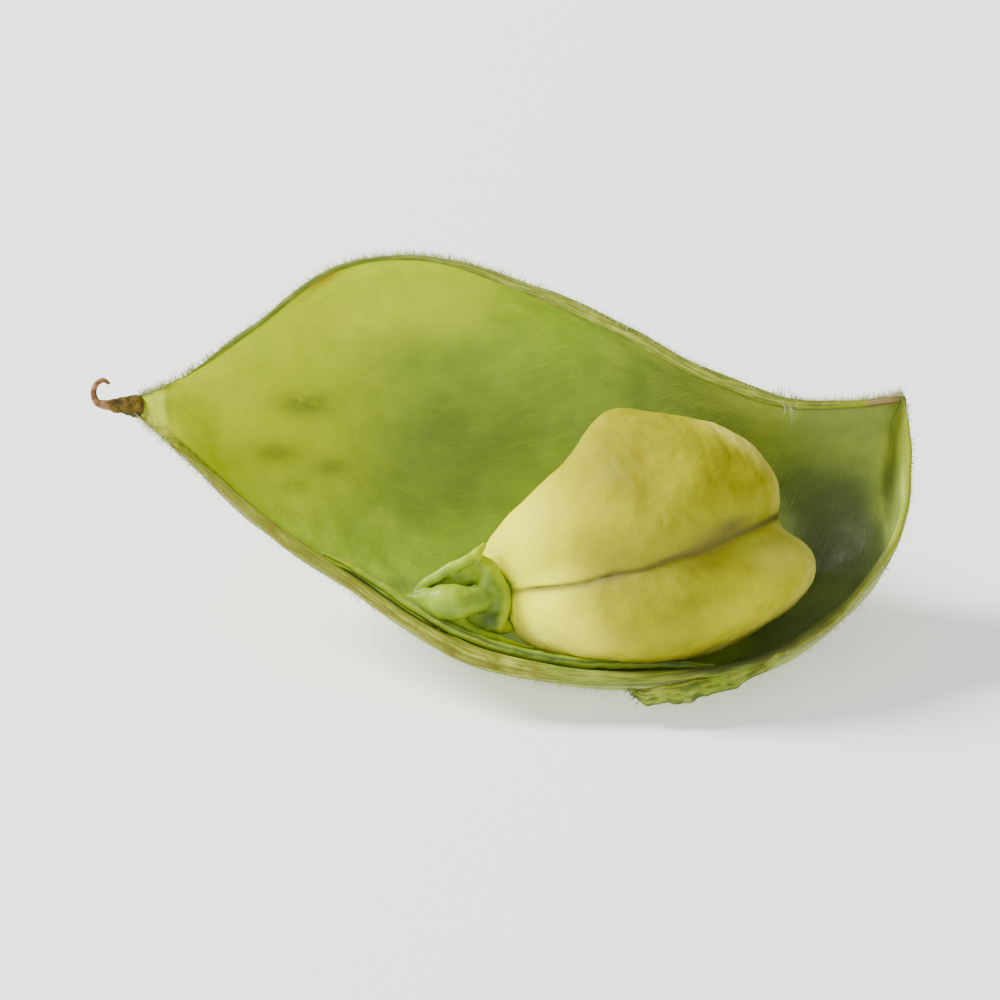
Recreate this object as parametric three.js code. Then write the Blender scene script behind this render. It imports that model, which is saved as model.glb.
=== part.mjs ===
// A fresh green chickpea pod, opened: one valve of the pod, with its seed still on its stalk.
// The valve is a thin boat-shaped skin that runs from the beak, where the dried style hangs on, to
// the corner where the flower stalk was. Its upper edge is the dorsal suture and its lower edge the
// ventral suture, which carries the strand that fed the seed and a torn shred of the other valve.
//
// Pod frame, in millimetres: x runs from the beak to the stalk corner, y across the opening from the
// ventral to the dorsal suture, z out of the opening. The pod lies tipped towards -Y on its pressed
// underside, so the exported group is that frame turned about X and set down on Z = 0.

import * as THREE from "three";

const { degToRad } = THREE.MathUtils;
const vec = (x, y, z) => new THREE.Vector3(x, y, z);

// ---------------------------------------------------------------- driving dimensions
const TIP_ANGLE = degToRad(40); // how far the opening is tipped over, about X
const WALL = 0.45; // thickness of the skin
const WALL_AT_EDGE = 0.36; // and along the sutures, where it split
const PRESSED_FLAT = 0.38; // how much the soft underside gives where it lies

// Stations from the beak to the stalk corner. Each pairs a point of the ventral edge with one of the
// dorsal edge, both on the outer skin, and gives how deep the skin hangs below the line between them,
// how far its bottom leans to the dorsal side (a share of half that line), and the two angles through
// which the skin curls in again at the ventral and the dorsal edge.
const STATIONS = [
  { ventral: [0.0, -0.42, -0.1], dorsal: [0.0, 0.36, -0.1], depth: 0.5, lean: 0, curl: [0, 0] },
  { ventral: [1.6, -1.95, 0.0], dorsal: [1.4, 1.0, 0.0], depth: 1.5, lean: 0, curl: [2, 2] },
  { ventral: [4.2, -4.4, 0.1], dorsal: [4.0, 2.9, 0.1], depth: 2.8, lean: -0.03, curl: [4, 4] },
  { ventral: [7.4, -6.75, 0.2], dorsal: [6.9, 5.1, 0.2], depth: 4.1, lean: -0.06, curl: [4, 6] },
  { ventral: [11.0, -9.1, 0.2], dorsal: [10.2, 5.5, 0.3], depth: 5.2, lean: -0.08, curl: [4, 14] },
  { ventral: [14.8, -10.15, 0.1], dorsal: [13.6, 4.35, 0.4], depth: 6.0, lean: -0.06, curl: [4, 20] },
  { ventral: [18.6, -10.2, 0.0], dorsal: [16.9, 2.75, 0.6], depth: 6.3, lean: -0.03, curl: [4, 20] },
  { ventral: [22.0, -9.55, 0.0], dorsal: [19.9, 1.05, 0.7], depth: 6.0, lean: 0, curl: [4, 14] },
  { ventral: [24.8, -7.65, 0.0], dorsal: [22.6, 0.0, 0.6], depth: 5.0, lean: 0, curl: [6, 8] },
  { ventral: [26.7, -5.0, 0.05], dorsal: [24.9, -0.05, 0.4], depth: 3.6, lean: 0, curl: [8, 6] },
  { ventral: [27.25, -2.1, 0.15], dorsal: [26.4, 0.15, 0.25], depth: 1.8, lean: 0, curl: [8, 4] },
  { ventral: [27.05, 0.15, 0.2], dorsal: [27.0, 0.28, 0.2], depth: 0.15, lean: 0, curl: [0, 0] },
];
const HOLLOW = { from: 0.092, to: 0.955, rounding: 0.012 }; // shares of the length: the beak is solid
const LENGTH_STEPS = 46; // sections along the valve
const ROUND_STEPS = 26; // points round each section

// The seed and its stalk share a frame of their own: x from the seed's beak to its rear, y across
// its two lobes, z towards the opening, which its groove faces. The seed is the soft union of
// ellipsoids that all hold its centre; their turns about z are in degrees.
const SEAT = { place: vec(18.0, -4.96, -0.25), turn: new THREE.Euler(degToRad(20), 0, degToRad(15)) };
const SEED = {
  ellipsoids: [
    { middle: [0.9, 0.65, 0], half: [4.1, 3.45, 3.75], turn: -16 }, // upper lobe
    { middle: [0.05, -1.95, 0], half: [5.35, 2.3, 3.3], turn: -3.5 }, // lower lobe
    { middle: [-1.4, 0.5, -0.45], half: [4.7, 2.75, 2.15], turn: 12.7 }, // what narrows to the beak
  ],
  blend: 14, // the higher, the sharper the valley between two ellipsoids
  shoulder: { height: 0.64, at: degToRad(96), spread: degToRad(20) }, // a hump on the upper lobe
  lengthSteps: 34,
  roundSteps: 32,
};

// The stalk swells from the strand towards the seed's beak: [x, y, z, radius] in the seed's frame.
const STALK = [
  [-8.8, 0.43, 0.89, 0.06],
  [-8.6, 0.33, 0.89, 0.18],
  [-8.0, 0.1, 0.95, 0.46],
  [-7.1, 0.0, 1.05, 0.9],
  [-6.3, 0.08, 1.25, 1.06],
  [-5.65, -0.3, 1.5, 0.7],
  [-5.3, -0.5, 1.7, 0.2],
];

// The strand stands off the inner wall, at share s of the way round from the ventral edge.
const STRAND = { from: 0.25, to: 0.585, s: 0.022, standoff: 0.13, radius: 0.18, tipRadius: 0.07 };

// The shred runs along the ventral edge, close to it at the rear and drooping at its pointed front end.
const SHRED = {
  from: 0.513,
  to: 0.64,
  clearance: 0.18, // from the edge
  halfWidth: 0.44,
  halfThickness: 0.1,
  droop: { outward: 0.34, down: 0.3 }, // of the front end
};

// The dried style leaves the beak as a cone and ends in a curled thread: [x, y, z, radius].
const STYLE = [
  [-0.06, 0.0, 0.0, 0.4],
  [-0.45, 0.02, 0.0, 0.27],
  [-0.9, 0.03, 0.0, 0.15],
  [-1.3, 0.0, 0.03, 0.13],
  [-1.58, 0.15, 0.08, 0.12],
  [-1.69, 0.5, 0.1, 0.11],
  [-1.57, 0.82, 0.05, 0.1],
  [-1.3, 0.96, -0.05, 0.09],
  [-1.06, 0.85, -0.12, 0.07],
];

// ---------------------------------------------------------------- the valve's skin
// The value that read gives at share u of the length, by a Catmull-Rom curve through the stations.
function alongStations(read, u) {
  const last = STATIONS.length - 1;
  const place = THREE.MathUtils.clamp(u, 0, 1) * last;
  const i = Math.min(Math.floor(place), last - 1);
  const t = place - i;
  const here = read(STATIONS[i]);
  const next = read(STATIONS[i + 1]);
  const before = i > 0 ? read(STATIONS[i - 1]) : 2 * here - next;
  const after = i < last - 1 ? read(STATIONS[i + 2]) : 2 * next - here;
  const slopeHere = (next - before) / 2;
  const slopeNext = (after - here) / 2;
  return (
    here +
    t * slopeHere +
    t * t * (3 * (next - here) - 2 * slopeHere - slopeNext) +
    t * t * t * (2 * (here - next) + slopeHere + slopeNext)
  );
}

function edgePoint(side, u) {
  return vec(...[0, 1, 2].map((axis) => alongStations((station) => station[side][axis], u)));
}

// A point of the outer skin: share u of the length, and share s of the way round from the ventral
// to the dorsal edge. Each section is an elliptical arc hung between the two edges.
function skinPoint(u, s) {
  const ventral = edgePoint("ventral", u);
  const dorsal = edgePoint("dorsal", u);
  const depth = alongStations((station) => station.depth, u);
  const lean = alongStations((station) => station.lean, u);
  const [curlV, curlD] = [0, 1].map((side) => degToRad(alongStations((station) => station.curl[side], u)));
  const angle = -curlV + s * (Math.PI + curlV + curlD);
  const across = (Math.cos(curlV) - Math.cos(angle)) / (Math.cos(curlV) + Math.cos(curlD));
  const rise = (1 - across) * Math.sin(curlV) + across * Math.sin(curlD);
  const hang = (Math.sin(angle) + rise) / (1 + (Math.sin(curlV) + Math.sin(curlD)) / 2);
  const point = ventral.lerp(dorsal, across + 0.5 * lean * hang * hang);
  point.z -= depth * hang;
  return point;
}

function skinNormal(u, s) {
  const step = 1e-3;
  const along = skinPoint(Math.min(u + step, 1), s).sub(skinPoint(Math.max(u - step, 0), s));
  const round = skinPoint(u, Math.min(s + step, 1)).sub(skinPoint(u, Math.max(s - step, 0)));
  return round.cross(along).normalize();
}

const wallAt = (s) => WALL + (WALL_AT_EDGE - WALL) * (2 * s - 1) ** 6;

// A point that lies inside the skin: on the inner face, or further in by so many millimetres.
function innerPoint(u, s, furtherIn = 0) {
  return skinPoint(u, s).addScaledVector(skinNormal(u, s), -wallAt(s) - furtherIn);
}

// ---------------------------------------------------------------- where the pod lies
const UP = vec(0, Math.sin(TIP_ANGLE), Math.cos(TIP_ANGLE)); // straight up, in the pod frame

function lowestOfSkin() {
  const steps = 80;
  let lowest = Infinity;
  for (let i = 0; i <= steps; i++) {
    for (let j = 0; j <= steps; j++) {
      lowest = Math.min(lowest, skinPoint(i / steps, j / steps).dot(UP));
    }
  }
  return lowest;
}
const FLOOR = lowestOfSkin() + PRESSED_FLAT; // how high the surface it lies on is, along UP

// Pushes a point up until it is at least so high above that surface.
function pressed(point, height) {
  const under = FLOOR + height - point.dot(UP);
  return under > 0 ? point.addScaledVector(UP, under) : point;
}

// ---------------------------------------------------------------- closed bodies
// A geometry from points and triangles that close on themselves, turned so that they face out.
function closedGeometry(points, faces) {
  const wedge = ([a, b, c]) => points[a].dot(points[b].clone().cross(points[c]));
  const facesOut = faces.reduce((sum, face) => sum + wedge(face), 0) > 0;
  const outward = facesOut ? faces : faces.map(([a, b, c]) => [a, c, b]);
  const geometry = new THREE.BufferGeometry().setFromPoints(points);
  geometry.setIndex(outward.flat());
  geometry.computeVertexNormals();
  return geometry;
}

// The body that joins rings of equal size, closed by a point at each end.
function loft(start, rings, end) {
  const size = rings[0].length;
  const points = [start, ...rings.flat(), end];
  const faces = [];
  const at = (ring, k) => 1 + ring * size + (k % size);
  for (let k = 0; k < size; k++) {
    faces.push([0, at(0, k + 1), at(0, k)]);
    faces.push([points.length - 1, at(rings.length - 1, k), at(rings.length - 1, k + 1)]);
    for (let ring = 0; ring < rings.length - 1; ring++) {
      faces.push([at(ring, k), at(ring, k + 1), at(ring + 1, k + 1)]);
      faces.push([at(ring, k), at(ring + 1, k + 1), at(ring + 1, k)]);
    }
  }
  return closedGeometry(points, faces);
}

function ellipseRing(middle, halfA, halfB, steps) {
  return Array.from({ length: steps }, (_, k) => {
    const angle = (2 * Math.PI * k) / steps;
    return middle.clone().addScaledVector(halfA, Math.cos(angle)).addScaledVector(halfB, Math.sin(angle));
  });
}

// A rod along a curve. radiusAt gives its radius at each share t of the curve's own parameter.
function rod(curve, radiusAt, steps, sides) {
  const rings = [];
  for (let i = 0; i <= steps; i++) {
    const t = i / steps;
    const along = curve.getTangent(t);
    const sideways = vec(0, 0, 1).cross(along).normalize();
    const radius = radiusAt(t);
    const upright = along.clone().cross(sideways).multiplyScalar(radius);
    rings.push(ellipseRing(curve.getPoint(t), sideways.multiplyScalar(radius), upright, sides));
  }
  return loft(curve.getPoint(0), rings, curve.getPoint(1));
}

// A rod through [x, y, z, radius] stations.
function rodThrough(stations, steps, sides) {
  const curve = new THREE.CatmullRomCurve3(stations.map(([x, y, z]) => vec(x, y, z)));
  const radii = new THREE.SplineCurve(stations.map((station, i) => new THREE.Vector2(i, station[3])));
  return rod(curve, (t) => radii.getPoint(t).y, steps, sides);
}

// ---------------------------------------------------------------- the pieces
// The skin as one closed body: an outer sheet, an inner sheet that starts behind the solid beak,
// and the split edges that join them. Each sheet closes in a point at both of its ends.
function valveGeometry() {
  const points = [];
  const add = (point) => points.push(point) - 1;
  const middle = (u) => edgePoint("ventral", u).lerp(edgePoint("dorsal", u), 0.5);
  const closingRow = (u) => new Array(ROUND_STEPS + 1).fill(add(middle(u)));
  const sheet = (from, to, rounding, pointAt) => {
    const rows = [closingRow(from - rounding)];
    for (let i = 0; i <= LENGTH_STEPS; i++) {
      const u = THREE.MathUtils.lerp(from, to, i / LENGTH_STEPS);
      rows.push(Array.from({ length: ROUND_STEPS + 1 }, (_, j) => add(pointAt(u, j / ROUND_STEPS))));
    }
    return [...rows, closingRow(to + rounding)];
  };
  const outer = sheet(0, 1, 0, (u, s) => pressed(skinPoint(u, s), 0));
  const inner = sheet(HOLLOW.from, HOLLOW.to, HOLLOW.rounding, (u, s) => pressed(innerPoint(u, s), WALL));

  const faces = [];
  const quad = (a, b, c, d) => {
    if (a !== b) faces.push([a, b, c]);
    if (c !== d) faces.push([a, c, d]);
  };
  const dorsal = ROUND_STEPS;
  for (let i = 0; i + 1 < outer.length; i++) {
    for (let j = 0; j < ROUND_STEPS; j++) {
      quad(outer[i][j], outer[i][j + 1], outer[i + 1][j + 1], outer[i + 1][j]);
      quad(inner[i][j + 1], inner[i][j], inner[i + 1][j], inner[i + 1][j + 1]);
    }
    quad(outer[i][0], outer[i + 1][0], inner[i + 1][0], inner[i][0]);
    quad(outer[i + 1][dorsal], outer[i][dorsal], inner[i][dorsal], inner[i + 1][dorsal]);
  }
  return closedGeometry(points, faces);
}

// How far a ray from the seed's centre runs before it leaves one of its ellipsoids.
function ellipsoidReach(direction, { middle, half, turn }) {
  const size = vec(...half);
  const unturn = (v) => v.applyAxisAngle(vec(0, 0, 1), -degToRad(turn)).divide(size);
  const d = unturn(direction.clone());
  const m = unturn(vec(...middle));
  const a = d.dot(d);
  const b = d.dot(m);
  return (b + Math.sqrt(b * b - a * (m.dot(m) - 1))) / a;
}

// A point of the seed's surface in the given direction from its centre.
function seedPoint(direction) {
  const reaches = SEED.ellipsoids.map((ellipsoid) => ellipsoidReach(direction, ellipsoid));
  const reach = reaches.reduce((sum, r) => sum + r ** SEED.blend, 0) ** (1 / SEED.blend);
  const { height, at, spread } = SEED.shoulder;
  const fromHump = vec(Math.cos(at), Math.sin(at), 0).angleTo(direction);
  const bulged = reach + height * Math.exp(-((fromHump / spread) ** 2));
  const point = direction.clone().multiplyScalar(bulged);
  return point.addScaledVector(direction, -grooveDepth(point));
}

// The groove between the lobes: a fine line behind the beak that widens to a notch at the rear.
function grooveDepth(point) {
  const rearward = THREE.MathUtils.smoothstep(point.x, -2, 4.5);
  const middle = -0.5 - 0.35 * (1 - (point.x / 5) ** 2);
  const width = THREE.MathUtils.lerp(0.22, 0.6, rearward);
  const front = THREE.MathUtils.smoothstep(point.z, -2.5, 0.5);
  const depth = THREE.MathUtils.lerp(0.12, 0.42, rearward);
  return depth * front * Math.exp(-(((point.y - middle) / width) ** 2));
}

function seedGeometry() {
  const direction = (tilt, angle) =>
    vec(-Math.cos(tilt), Math.sin(tilt) * Math.cos(angle), Math.sin(tilt) * Math.sin(angle));
  const rings = [];
  for (let i = 1; i < SEED.lengthSteps; i++) {
    const tilt = (Math.PI * i) / SEED.lengthSteps;
    const ring = [];
    for (let k = 0; k < SEED.roundSteps; k++) {
      ring.push(seedPoint(direction(tilt, (2 * Math.PI * k) / SEED.roundSteps)));
    }
    rings.push(ring);
  }
  return loft(seedPoint(vec(-1, 0, 0)), rings, seedPoint(vec(1, 0, 0)));
}

function strandGeometry() {
  const { from, to, s, standoff, radius, tipRadius } = STRAND;
  const spans = 8;
  const places = Array.from({ length: spans + 1 }, (_, i) =>
    innerPoint(THREE.MathUtils.lerp(from, to, i / spans), s, standoff + radius),
  );
  const radiusAt = (t) => THREE.MathUtils.lerp(tipRadius, radius, Math.sin(Math.PI * t) ** 0.5);
  return rod(new THREE.CatmullRomCurve3(places), radiusAt, 36, 8);
}

// The shred is a thin strip of uneven width, pointed in front.
function shredGeometry() {
  const steps = 20;
  const sides = 8;
  const up = vec(0, 0, 1);
  const rings = Array.from({ length: steps + 1 }, (_, i) => {
    const t = i / steps;
    const u = THREE.MathUtils.lerp(SHRED.from, SHRED.to, t);
    const edge = edgePoint("ventral", u);
    const along = edgePoint("ventral", u + 0.01).sub(edge);
    const outward = along.cross(up).normalize();
    const uneven = 0.8 + 0.2 * Math.sin(23 * t) * Math.sin(9 * t);
    const pointed = Math.min(1, 0.12 + 2.4 * t, 0.2 + 4 * (1 - t));
    const halfWidth = SHRED.halfWidth * uneven * pointed;
    const halfThickness = SHRED.halfThickness * Math.min(1, 0.4 + 3 * t);
    const middle = edge
      .addScaledVector(outward, SHRED.clearance + halfWidth + SHRED.droop.outward * (1 - t) ** 2)
      .addScaledVector(up, SHRED.halfThickness / 2 - SHRED.droop.down * (1 - t) ** 3);
    const across = outward.clone().multiplyScalar(halfWidth);
    return ellipseRing(middle, across, up.clone().multiplyScalar(halfThickness), sides);
  });
  const centre = (ring) => ring.reduce((sum, p) => sum.add(p), vec(0, 0, 0)).divideScalar(sides);
  return loft(centre(rings[0]), rings, centre(rings[steps]));
}

// ---------------------------------------------------------------- the assembly
function piece(name, geometry, color, roughness) {
  const material = new THREE.MeshStandardMaterial({ color, roughness, metalness: 0 });
  const mesh = new THREE.Mesh(geometry, material);
  mesh.name = name;
  return mesh;
}

const seat = new THREE.Group();
seat.position.copy(SEAT.place);
seat.rotation.copy(SEAT.turn);
seat.add(piece("chickpea", seedGeometry(), 0xcabf3c, 0.45));
seat.add(piece("funicle", rodThrough(STALK, 24, 16), 0x9cbb4a, 0.25));

const style = piece("dried_style", rodThrough(STYLE, 32, 10), 0x7e6b31, 0.8);
style.position.copy(edgePoint("ventral", 0).lerp(edgePoint("dorsal", 0), 0.5));
style.rotation.x = SEAT.turn.x;

const pod = new THREE.Group();
pod.rotation.x = TIP_ANGLE;
pod.add(piece("pod_valve", valveGeometry(), 0xa6b53f, 0.5));
pod.add(piece("placental_strand", strandGeometry(), 0x9fbf5c, 0.35));
pod.add(piece("torn_margin", shredGeometry(), 0x97a03e, 0.7));
pod.add(seat, style);

// ---------------------------------------------------------------- set down on the surface
const part = new THREE.Group();
part.add(pod);
part.updateMatrixWorld(true);
const box = new THREE.Box3().setFromObject(part, true);
pod.position.set(-(box.min.x + box.max.x) / 2, -(box.min.y + box.max.y) / 2, -box.min.z);

export default part;
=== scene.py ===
"""Looks of the fresh chickpea pod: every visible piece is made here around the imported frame."""

import math

import bpy
import numpy as np
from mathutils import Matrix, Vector


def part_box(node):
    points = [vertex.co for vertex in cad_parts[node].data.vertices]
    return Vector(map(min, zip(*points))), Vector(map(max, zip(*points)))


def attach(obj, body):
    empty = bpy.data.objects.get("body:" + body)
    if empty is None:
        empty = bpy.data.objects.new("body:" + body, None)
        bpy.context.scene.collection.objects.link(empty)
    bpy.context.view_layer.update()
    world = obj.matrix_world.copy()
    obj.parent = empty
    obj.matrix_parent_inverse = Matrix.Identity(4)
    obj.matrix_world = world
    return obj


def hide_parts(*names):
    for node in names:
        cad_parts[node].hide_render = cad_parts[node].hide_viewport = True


MM = 0.001
X, Y, Z = 0, 1, 2

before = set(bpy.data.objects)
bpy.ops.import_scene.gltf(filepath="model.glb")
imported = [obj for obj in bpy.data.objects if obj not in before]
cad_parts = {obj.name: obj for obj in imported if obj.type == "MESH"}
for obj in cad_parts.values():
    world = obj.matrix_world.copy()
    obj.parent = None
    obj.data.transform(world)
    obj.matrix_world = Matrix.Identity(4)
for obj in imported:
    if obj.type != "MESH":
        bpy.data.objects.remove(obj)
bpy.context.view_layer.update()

# ---- camera
CAMERA_ELEVATION = math.radians(30)
CAMERA_LENS = 400
CAMERA_DISTANCE = 0.392
CAMERA_AIM = (0.0, 0.0, 0.0052)


def make_camera():
    data = bpy.data.cameras.new("camera")
    data.lens = CAMERA_LENS
    data.clip_start = 0.01
    camera = bpy.data.objects.new("camera", data)
    bpy.context.collection.objects.link(camera)
    away, up = math.cos(CAMERA_ELEVATION), math.sin(CAMERA_ELEVATION)
    x, y, z = CAMERA_AIM
    camera.location = (x, y - CAMERA_DISTANCE * away, z + CAMERA_DISTANCE * up)
    camera.rotation_euler = (math.pi / 2 - CAMERA_ELEVATION, 0, 0)
    bpy.context.scene.camera = camera


make_camera()

# ---- the valve's skin, as in the CAD model
# Pod frame in millimetres: x from the beak to the stalk corner, y from the ventral to the dorsal
# suture, z out of the opening.
TIP_ANGLE = math.radians(40)  # from the opening to the ground
VIEW_TILT = math.radians(20)  # from the opening's normal to the camera
WALL = 0.45
WALL_AT_EDGE = 0.36
PRESSED_FLAT = 0.38
# ventral x y z, dorsal x y z, depth, lean, curl at the ventral and at the dorsal edge in degrees
STATIONS = np.array([
    [0.0, -0.42, -0.1, 0.0, 0.36, -0.1, 0.5, 0.0, 0, 0],
    [1.6, -1.95, 0.0, 1.4, 1.0, 0.0, 1.5, 0.0, 2, 2],
    [4.2, -4.4, 0.1, 4.0, 2.9, 0.1, 2.8, -0.03, 4, 4],
    [7.4, -6.75, 0.2, 6.9, 5.1, 0.2, 4.1, -0.06, 4, 6],
    [11.0, -9.1, 0.2, 10.2, 5.5, 0.3, 5.2, -0.08, 4, 14],
    [14.8, -10.15, 0.1, 13.6, 4.35, 0.4, 6.0, -0.06, 4, 20],
    [18.6, -10.2, 0.0, 16.9, 2.75, 0.6, 6.3, -0.03, 4, 20],
    [22.0, -9.55, 0.0, 19.9, 1.05, 0.7, 6.0, 0.0, 4, 14],
    [24.8, -7.65, 0.0, 22.6, 0.0, 0.6, 5.0, 0.0, 6, 8],
    [26.7, -5.0, 0.05, 24.9, -0.05, 0.4, 3.6, 0.0, 8, 6],
    [27.25, -2.1, 0.15, 26.4, 0.15, 0.25, 1.8, 0.0, 8, 4],
    [27.05, 0.15, 0.2, 27.0, 0.28, 0.2, 0.15, 0.0, 0, 0],
])
UP = np.array([0, math.sin(TIP_ANGLE), math.cos(TIP_ANGLE)])


def smooth(x, low, high):
    """0 at low, 1 at high, with a smooth step between them. low may be the greater one."""
    t = np.clip((np.asarray(x, float) - low) / (high - low), 0, 1)
    return t * t * (3 - 2 * t)


def lerp(a, b, t):
    return a + (b - a) * t


def bell(x, middle, width):
    return np.exp(-(((x - middle) / width) ** 2))


def within(x, start, full, fade, end):
    """1 between full and fade, 0 outside start and end."""
    return smooth(x, start, full) * smooth(x, end, fade)


def spots(x, y, rows):
    """A sum of soft spots: strength, place in x and y, width in x and y."""
    return sum(most * bell(x, at_x, wide_x) * bell(y, at_y, wide_y) for most, at_x, at_y, wide_x, wide_y in rows)


def unit(v):
    return v / (np.linalg.norm(v, axis=-1, keepdims=True) + 1e-12)


def spline(stations, t):
    """A Catmull-Rom curve through rows of values, at shares t."""
    rows = np.asarray(stations, float)
    last = len(rows) - 1
    place = np.clip(t, 0, 1) * last
    i = np.minimum(np.floor(place).astype(int), last - 1)
    f = (place - i)[..., None]
    padded = np.vstack([2 * rows[0] - rows[1], rows, 2 * rows[-1] - rows[-2]])
    a, b, c, d = padded[i], padded[i + 1], padded[i + 2], padded[i + 3]
    return b + 0.5 * f * (c - a + f * (2 * a - 5 * b + 4 * c - d + f * (3 * (b - c) + d - a)))


def skin(u, s):
    """Points of the skin's outer side, at share u of the length and share s from the ventral to the dorsal edge."""
    u, s = np.broadcast_arrays(np.asarray(u, float), np.asarray(s, float))
    v = spline(STATIONS, u)
    ventral, dorsal, depth, lean = v[..., 0:3], v[..., 3:6], v[..., 6], v[..., 7]
    curl_v, curl_d = np.radians(v[..., 8]), np.radians(v[..., 9])
    angle = -curl_v + s * (np.pi + curl_v + curl_d)
    across = (np.cos(curl_v) - np.cos(angle)) / (np.cos(curl_v) + np.cos(curl_d))
    rise = (1 - across) * np.sin(curl_v) + across * np.sin(curl_d)
    hang = (np.sin(angle) + rise) / (1 + (np.sin(curl_v) + np.sin(curl_d)) / 2)
    point = ventral + (dorsal - ventral) * (across + 0.5 * lean * hang * hang)[..., None]
    point[..., 2] -= depth * hang
    return point


def skin_normal(u, s, step=1e-3):
    u, s = np.broadcast_arrays(np.asarray(u, float), np.asarray(s, float))
    along = skin(np.minimum(u + step, 1), s) - skin(np.maximum(u - step, 0), s)
    around = skin(u, np.minimum(s + step, 1)) - skin(u, np.maximum(s - step, 0))
    return unit(np.cross(around, along))


def wall_at(s):
    """The wall's thickness, thinner towards both edges."""
    return WALL + (WALL_AT_EDGE - WALL) * (2 * s - 1) ** 6


_shares = np.linspace(0, 1, 81)
_grid = skin(*np.meshgrid(_shares, _shares, indexing="ij"))
# the height of the surface that the pod lies on, measured along UP in the pod frame
FLOOR = (_grid @ UP).min() + PRESSED_FLAT


def pressed(points, height):
    """Lifts points that would lie lower than that height above the surface the pod lies on."""
    under = np.maximum(0, FLOOR + height - points @ UP)
    return points + under[..., None] * UP


def turned(points, angle, first, second):
    """Points turned from the first axis towards the second one."""
    out, a, b = np.array(points, float), points[..., first], points[..., second]
    out[..., first] = a * math.cos(angle) - b * math.sin(angle)
    out[..., second] = a * math.sin(angle) + b * math.cos(angle)
    return out


# Where the pod frame's origin is in the row frame, in millimetres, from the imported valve's own box.
_turned = turned(pressed(_grid, 0), TIP_ANGLE, Y, Z)
_low, _high = (np.array(corner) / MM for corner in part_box("pod_valve"))
ORIGIN = (_low + _high) / 2 - (_turned.min((0, 1)) + _turned.max((0, 1))) / 2
ORIGIN[2] = -FLOOR


def to_row(points):
    """From the pod frame in millimetres to the row frame in metres."""
    return (turned(points, TIP_ANGLE, Y, Z) + ORIGIN) * MM


# ---- noise and meshes
def waves(points, scale, seed, octaves=2):
    """Smooth noise of about -1 to 1 over points, with features of about that scale."""
    rng = np.random.default_rng(seed)
    total = np.zeros(points.shape[:-1])
    weight = 1.0
    for _ in range(octaves):
        for _ in range(9):
            direction = unit(rng.normal(size=3)) * (2 * np.pi / scale) * rng.uniform(0.6, 1.2)
            total += weight * np.sin(points @ direction + rng.uniform(0, 2 * np.pi)) / 3.2
        scale /= 2.1
        weight *= 0.5
    return total


def mesh_object(name, materials, points, faces, values=None, face_material=None):
    """A smooth mesh in the row frame. values are float or vector attributes of its points."""
    mesh = bpy.data.meshes.new(name)
    mesh.from_pydata(to_row(points).tolist(), [], faces)
    mesh.update()
    for key, value in (values or {}).items():
        kind, field = ("FLOAT_VECTOR", "vector") if value.ndim == 2 else ("FLOAT", "value")
        mesh.attributes.new(key, kind, "POINT").data.foreach_set(field, value.astype(np.float32).ravel())
    for material in materials:
        mesh.materials.append(material)
    if face_material is not None:
        mesh.polygons.foreach_set("material_index", np.asarray(face_material, np.int32))
    mesh.polygons.foreach_set("use_smooth", np.ones(len(mesh.polygons), bool))
    piece = bpy.data.objects.new(name, mesh)
    bpy.context.collection.objects.link(piece)
    return piece


def angles(sides):
    return 2 * np.pi * np.arange(sides) / sides


def tube_faces(rings, sides):
    """Quads between rings of points that close round, and triangles to the two end points that follow them."""
    i, k = np.meshgrid(np.arange(rings - 1), np.arange(sides), indexing="ij")
    j = (k + 1) % sides
    quads = np.stack([i * sides + k, i * sides + j, (i + 1) * sides + j, (i + 1) * sides + k], -1)
    faces = quads.reshape(-1, 4).tolist()
    start, end, last_ring = rings * sides, rings * sides + 1, (rings - 1) * sides
    for side in range(sides):
        after = (side + 1) % sides
        faces += [[after, side, start], [last_ring + side, last_ring + after, end]]
    return faces


def turned_over(faces):
    return [face[::-1] for face in faces]


def rod(stations, steps, sides):
    """Points and faces of a closed rod through [x, y, z, radius] rows."""
    rows = spline(stations, np.linspace(0, 1, steps))
    path, radius = rows[:, :3], np.maximum(rows[:, 3], 0.01)
    along = unit(np.gradient(path, axis=0))
    side = unit(np.cross([0.03, 0.02, 1.0], along))
    up = np.cross(along, side)
    angle = angles(sides)
    around = np.cos(angle)[:, None] * side[:, None] + np.sin(angle)[:, None] * up[:, None]
    ring = path[:, None] + radius[:, None, None] * around
    return np.vstack([ring.reshape(-1, 3), path[:1], path[-1:]]), tube_faces(steps, sides)


def fused(parts, voxel, smoothing):
    """Points, faces and normals of one closed skin around several closed parts, all in millimetres."""
    points, faces = [], []
    for part_points, part_faces in parts:
        offset = sum(len(p) for p in points)
        points.append(part_points)
        faces += [[index + offset for index in face] for face in part_faces]
    mesh = bpy.data.meshes.new("fused")
    mesh.from_pydata(np.vstack(points).tolist(), [], faces)
    holder = bpy.data.objects.new("fused", mesh)
    bpy.context.collection.objects.link(holder)
    remesh = holder.modifiers.new("remesh", "REMESH")
    remesh.mode = "VOXEL"
    remesh.voxel_size = voxel
    soften = holder.modifiers.new("soften", "SMOOTH")
    soften.factor = 0.5
    soften.iterations = smoothing
    result = holder.evaluated_get(bpy.context.evaluated_depsgraph_get()).to_mesh()

    def of_points(key):
        flat = np.empty(len(result.vertices) * 3, np.float32)
        result.vertices.foreach_get(key, flat)
        return flat.reshape(-1, 3).astype(float)

    out = of_points("co"), [list(polygon.vertices) for polygon in result.polygons], of_points("normal")
    bpy.data.objects.remove(holder)
    bpy.data.meshes.remove(mesh)
    return out


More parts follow.
